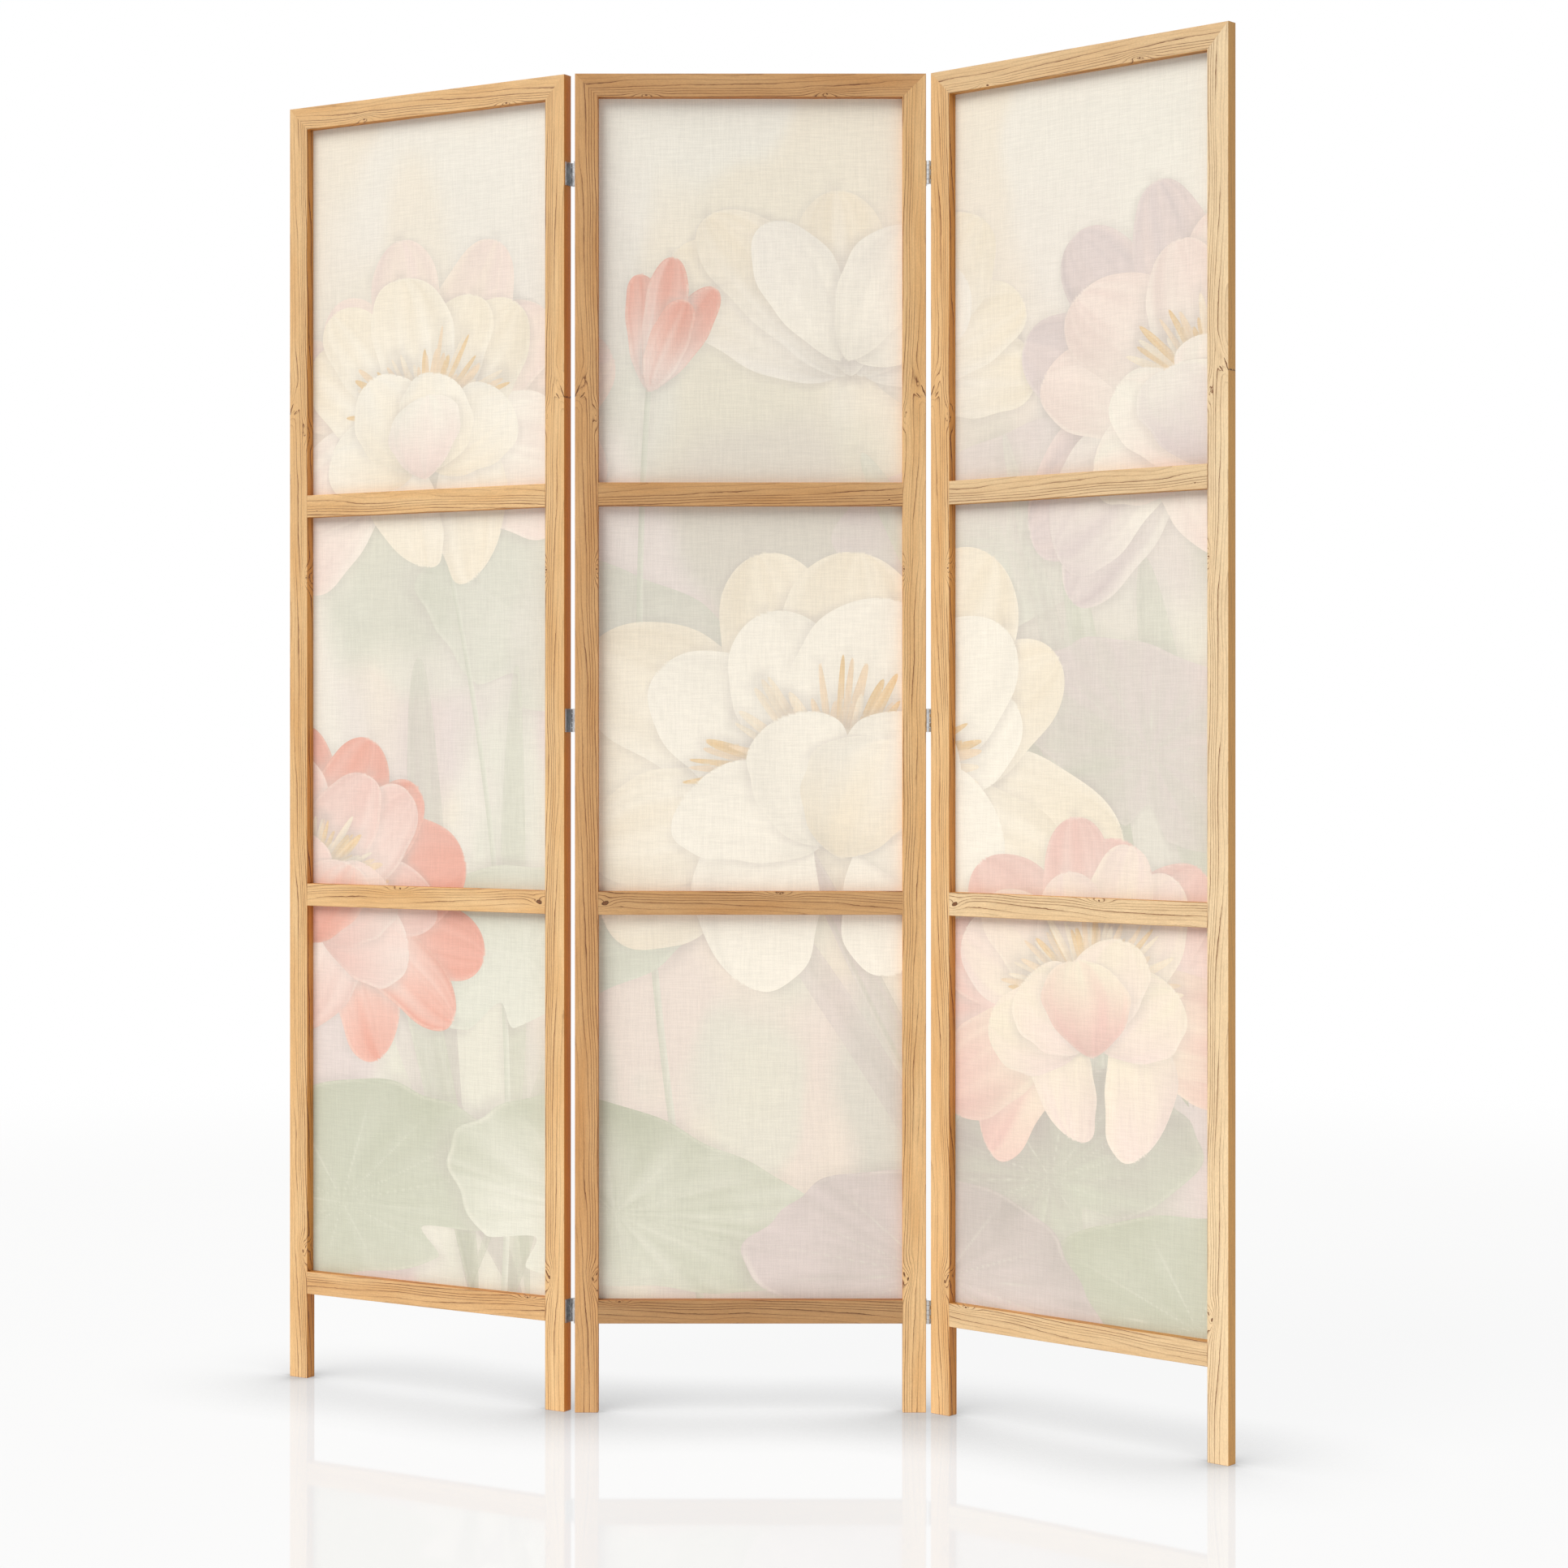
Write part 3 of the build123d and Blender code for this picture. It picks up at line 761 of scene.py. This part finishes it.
def paintPond(x, z):
    # the colour of each point of the print, and how far it lies from the nearest painted edge
    paint = {"x": x, "z": z, "colour": None, "edge": np.full(len(x), 1000.0)}
    background(paint)
    pale = np.random.RandomState(70)
    fan(paint, (130, 1330), fanned(14, 74, 6), 250, 130, "skyMiddle", "cream", pale)
    fan(paint, (120, 1350), fanned(20, 40, 3), 190, 110, "ivory", "skyMiddle", pale)
    pad(paint, (330, 1130), 240, 0.50, 18, "mist", "lilac", 71, 0.7)
    pad(paint, (-250, 1010), 230, 0.46, -16, "mist", "sage", 72, 0.7)
    reeds(paint, (-330, 120), 6, 800, 330, 81)
    reeds(paint, (330, 100), 7, 950, 300, 82)
    reeds(paint, (660, 420), 6, 900, 180, 83)
    stem(paint, (-330, 120), (-440, 1180), 46)
    stem(paint, (-60, 120), (-130, 1330), -40)
    stem(paint, (560, 110), (478, 520), -14)
    pad(paint, (-300, 600), 230, 0.44, 12, "mist", "sage", 74)
    pad(paint, (560, 860), 220, 0.50, -22, "sage", "lilac", 73, 0.8)
    pad(paint, (400, 330), 230, 0.46, 20, "sage", "slate", 80)
    pad(paint, (-600, 260), 280, 0.46, 14, "sage", "leaf", 75)
    pad(paint, (-170, 270), 260, 0.44, -12, "mist", "leaf", 76)
    pad(paint, (620, 170), 280, 0.46, 12, "sage", "leaf", 78)
    pad(paint, (240, 190), 240, 0.46, -9, "lilac", "slate", 79)
    bud(paint, (-130, 1310), 175, 14, "blush", "coral", 91)
    blossom(paint, (655, 1250), 290, -18, "ivory", "blush", "lilac", 105)
    blossom(paint, (-455, 1260), 265, -8, "ivory", "cream", "blush", 101)
    blossom(paint, (-655, 640), 260, 22, "blush", "rose", "coral", 104)
    blossom(paint, (110, 780), 345, 6, "ivory", "ivory", "cream", 102)
    blossom(paint, (470, 520), 250, -12, "cream", "blush", "rose", 103)
    everywhere = np.arange(len(x))
    layOver(paint, everywhere, ink("skyMiddle"), 0.13 + 0.12 * clouds(x, z, 300, 5))
    return paint


# Cloth: one printed linen for each panel, stretched and stapled into the back of the frame

cloth = {
    "width": 408.0,              # millimetres: the window and a lap of 9 mm at each side
    "bottom": 135.0,
    "top": 1695.0,
    "thickness": 0.6,
    "cell": 2.8,                 # millimetres between the points that carry the print
    "quickCell": 6.0,
    "snapReach": 0.46,           # share of a cell that a point may move onto a painted edge
    "cornerInset": 0.12,         # share of the way to a triangle's middle where its corners are read
    "backBorder": 12.0,          # millimetres from the back's edge to its own coarse grid
    "billow": 0.25,              # how far the cloth bellies backwards between the bars
    "billowRise": (8, 60),       # millimetres from the cloth's edge where the belly starts and is full
    "threadWidth": 1.1,          # drawn twice too coarse, so that the linen shows
    "slubLength": 22.0,
    "threadTone": (0.935, 1.045),
    "knapTone": (0.97, 1.02),
    "bare": "#EFEBDF",
}


def linenMaterial(name, centre, panel, printed):
    # plain-woven linen: thick and thin threads both ways give a fine cross-hatch, with no shine
    material, tree, shader = newMaterial(name)
    place = addNode(tree, "TexCoord")
    local = addNode(tree, "Mapping", {"Vector": place.outputs["Object"], "Location": centre,
                                      "Rotation": (0, 0, panel["turn"]), "Scale": (mm, mm, mm)},
                    vector_type="TEXTURE")
    thread = cloth["threadWidth"]
    slub = cloth["slubLength"]
    weft = stretchedNoise(tree, local, (slub, slub, thread), 2.0, detail=2)
    warp = stretchedNoise(tree, local, (thread, slub, slub * 1.2), 5.0, detail=2)
    knap = stretchedNoise(tree, local, (1.4, 8, 1.4), 7.0, detail=2)
    threads = addNode(tree, "Math", {0: weft.outputs["Fac"], 1: warp.outputs["Fac"]}, operation="ADD")
    dark, bright = cloth["threadTone"]
    # the panel's cloth brightness is painted shade, multiplied into the thread tones of both sides
    light = addNode(tree, "MapRange", {"Value": threads, "From Min": 0.7, "From Max": 1.3,
                                       "To Min": dark * panel["clothShade"],
                                       "To Max": bright * panel["clothShade"]})
    dark, bright = cloth["knapTone"]
    knapLight = addNode(tree, "MapRange", {"Value": knap.outputs["Fac"], "From Min": 0.3, "From Max": 0.7,
                                           "To Min": dark, "To Max": bright})
    light = addNode(tree, "Math", {0: light, 1: knapLight}, operation="MULTIPLY")
    if printed:
        colour = addNode(tree, "Attribute", attribute_name="printColour").outputs["Color"]
    else:
        colour = linearColour(cloth["bare"])[:3]
    shaded = addNode(tree, "VectorMath", {0: colour, "Scale": light}, operation="SCALE")
    tree.links.new(shaded.outputs[0], shader.inputs["Base Color"])
    shader.inputs["Roughness"].default_value = 0.88
    shader.inputs["Specular IOR Level"].default_value = 0.25
    shader.inputs["Sheen Weight"].default_value = 0.08
    height = addNode(tree, "Math", {0: threads, 1: knap.outputs["Fac"]}, operation="ADD")
    bump = addNode(tree, "Bump", {"Height": height, "Strength": 0.3, "Distance": 0.0002})
    tree.links.new(bump.outputs[0], shader.inputs["Normal"])
    return material


def vertexPlaces(bm):
    return np.array([vertex.co for vertex in bm.verts]).reshape(-1, 3)


def snapToPaint(start, inner, shift, cell):
    # moves the inner points beside a painted edge onto it, and says which ones lie there
    probe = 0.05
    places = start.copy()
    for attempt in range(2):
        x = places[:, 0] + shift
        z = places[:, 1]
        away = paintPond(x, z)["edge"]
        slopeX = (paintPond(x + probe, z)["edge"] - away) / probe
        slopeZ = (paintPond(x, z + probe)["edge"] - away) / probe
        steepness = np.maximum(slopeX ** 2 + slopeZ ** 2, 0.2)
        moved = places.copy()
        moved[:, 0] -= away * slopeX / steepness
        moved[:, 1] -= away * slopeZ / steepness
        near = inner & (np.hypot(*(moved - start)[:, :2].T) < cloth["snapReach"] * cell)
        places[near] = moved[near]
    return places, near


def clothSheet(bm, shift):
    # the printed side: an even grid, with edges along the painted ones
    cell = cloth["cell"]
    height = cloth["top"] - cloth["bottom"]
    columns = round(cloth["width"] / cell)
    rows = round(height / cell)
    bmesh.ops.create_grid(bm, x_segments=columns, y_segments=rows, size=0.5)
    bmesh.ops.scale(bm, vec=(cloth["width"], height, 1), verts=bm.verts)
    bmesh.ops.translate(bm, vec=(0, (cloth["top"] + cloth["bottom"]) / 2, 0), verts=bm.verts)
    bm.verts.index_update()
    inner = np.array([not vertex.is_boundary for vertex in bm.verts])
    places, near = snapToPaint(vertexPlaces(bm), inner, shift, cell)
    for vertex, place in zip(bm.verts, places):
        vertex.co = place
    edgePoints = [vertex for vertex, chosen in zip(bm.verts, near) if chosen]
    bmesh.ops.connect_verts(bm, verts=edgePoints)


def clothBack(bm):
    # turns the printed side into a closed sheet: a thin rim and a plain back
    rim = [edge for edge in bm.edges if edge.is_boundary]
    made = bmesh.ops.extrude_edge_only(bm, edges=rim)["geom"]
    moved = [item for item in made if isinstance(item, bmesh.types.BMVert)]
    bmesh.ops.translate(bm, vec=(0, 0, -cloth["thickness"]), verts=moved)
    outer = [item for item in made if isinstance(item, bmesh.types.BMEdge) and item.is_boundary]
    border = cloth["backBorder"]
    known = set(bm.verts)
    bmesh.ops.create_grid(bm, x_segments=8, y_segments=30, size=0.5)
    inner = [vertex for vertex in bm.verts if vertex not in known]
    height = cloth["top"] - cloth["bottom"]
    bmesh.ops.scale(bm, vec=(cloth["width"] - 2 * border, height - 2 * border, 1), verts=inner)
    middle = (cloth["top"] + cloth["bottom"]) / 2
    bmesh.ops.translate(bm, vec=(0, middle, -cloth["thickness"]), verts=inner)
    innerEdges = {edge for vertex in inner for edge in vertex.link_edges if edge.is_boundary}
    bmesh.ops.triangle_fill(bm, edges=outer + list(innerEdges), use_beauty=True)


def printCorners(mesh, flat, shift):
    # paints each corner of each triangle from a point just inside it, so that edges stay clean
    corner = np.empty(len(mesh.loops), dtype=np.int32)
    mesh.loops.foreach_get("vertex_index", corner)
    triangles = flat[corner].reshape(-1, 3, 3)
    middles = triangles.mean(axis=1, keepdims=True)
    points = (triangles + (middles - triangles) * cloth["cornerInset"]).reshape(-1, 3)
    colours = paintPond(points[:, 0] + shift, points[:, 1])["colour"]
    rgba = np.ones((len(colours), 4))
    rgba[:, :3] = toLinear(colours)
    attribute = mesh.color_attributes.new("printColour", "FLOAT_COLOR", "CORNER")
    attribute.data.foreach_set("color", rgba.ravel())


def faceOutwards(bm):
    # the printed side gets the first material, the rim and the back the second
    bmesh.ops.triangulate(bm, faces=bm.faces)
    bm.faces.ensure_lookup_table()
    bmesh.ops.recalc_face_normals(bm, faces=bm.faces)
    if bm.faces[0].normal.z < 0:
        bmesh.ops.reverse_faces(bm, faces=bm.faces)
    for face in bm.faces:
        face.material_index = 0 if face.normal.z > 0.5 else 1


def bellyCloth(bm, flat):
    # the cloth bellies back a hair's breadth, least at its edges
    edgeGap = np.minimum(cloth["width"] / 2 - np.abs(flat[:, 0]),
                         np.minimum(flat[:, 1] - cloth["bottom"], cloth["top"] - flat[:, 1]))
    rise = smooth(*cloth["billowRise"], edgeGap)
    belly = rise * clouds(flat[:, 0], flat[:, 1], 260, 17) * cloth["billow"]
    for vertex, sink in zip(bm.verts, belly):
        vertex.co.z += cloth["thickness"] / 2 - sink


def standInFrame(bm, turn, centre):
    # from millimetres lying flat to metres standing in the panel's frame
    bmesh.ops.scale(bm, vec=(mm, mm, mm), verts=bm.verts)
    bmesh.ops.rotate(bm, matrix=Matrix.Rotation(math.radians(90), 3, "X"), verts=bm.verts)
    bmesh.ops.rotate(bm, matrix=Matrix.Rotation(turn, 3, "Z"), verts=bm.verts)
    bmesh.ops.translate(bm, vec=(centre.x, centre.y, 0), verts=bm.verts)


def makeCloth(panelName):
    panel = panels[panelName]
    canvas = f"{panelName}_panel_canvas"
    centre = boxCentre(canvas)
    bm = bmesh.new()
    clothSheet(bm, panel["printShift"])
    clothBack(bm)
    faceOutwards(bm)
    flat = vertexPlaces(bm)
    bellyCloth(bm, flat)
    standInFrame(bm, panel["turn"], centre)
    mesh = bpy.data.meshes.new(f"{panelName}_printed_cloth")
    bm.to_mesh(mesh)
    bm.free()
    printCorners(mesh, flat, panel["printShift"])
    place = (centre.x, centre.y, 0)
    mesh.materials.append(linenMaterial(f"printedLinen.{panelName}", place, panel, True))
    mesh.materials.append(linenMaterial(f"bareLinen.{panelName}", place, panel, False))
    piece = bpy.data.objects.new(f"{panelName}_printed_cloth", mesh)
    scene.collection.objects.link(piece)
    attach(piece, f"{panelName}_panel")
    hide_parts(canvas)
    print(panelName, "cloth:", len(mesh.polygons), "faces")


for panelName in panels:
    makeCloth(panelName)
print("cloths stretched")
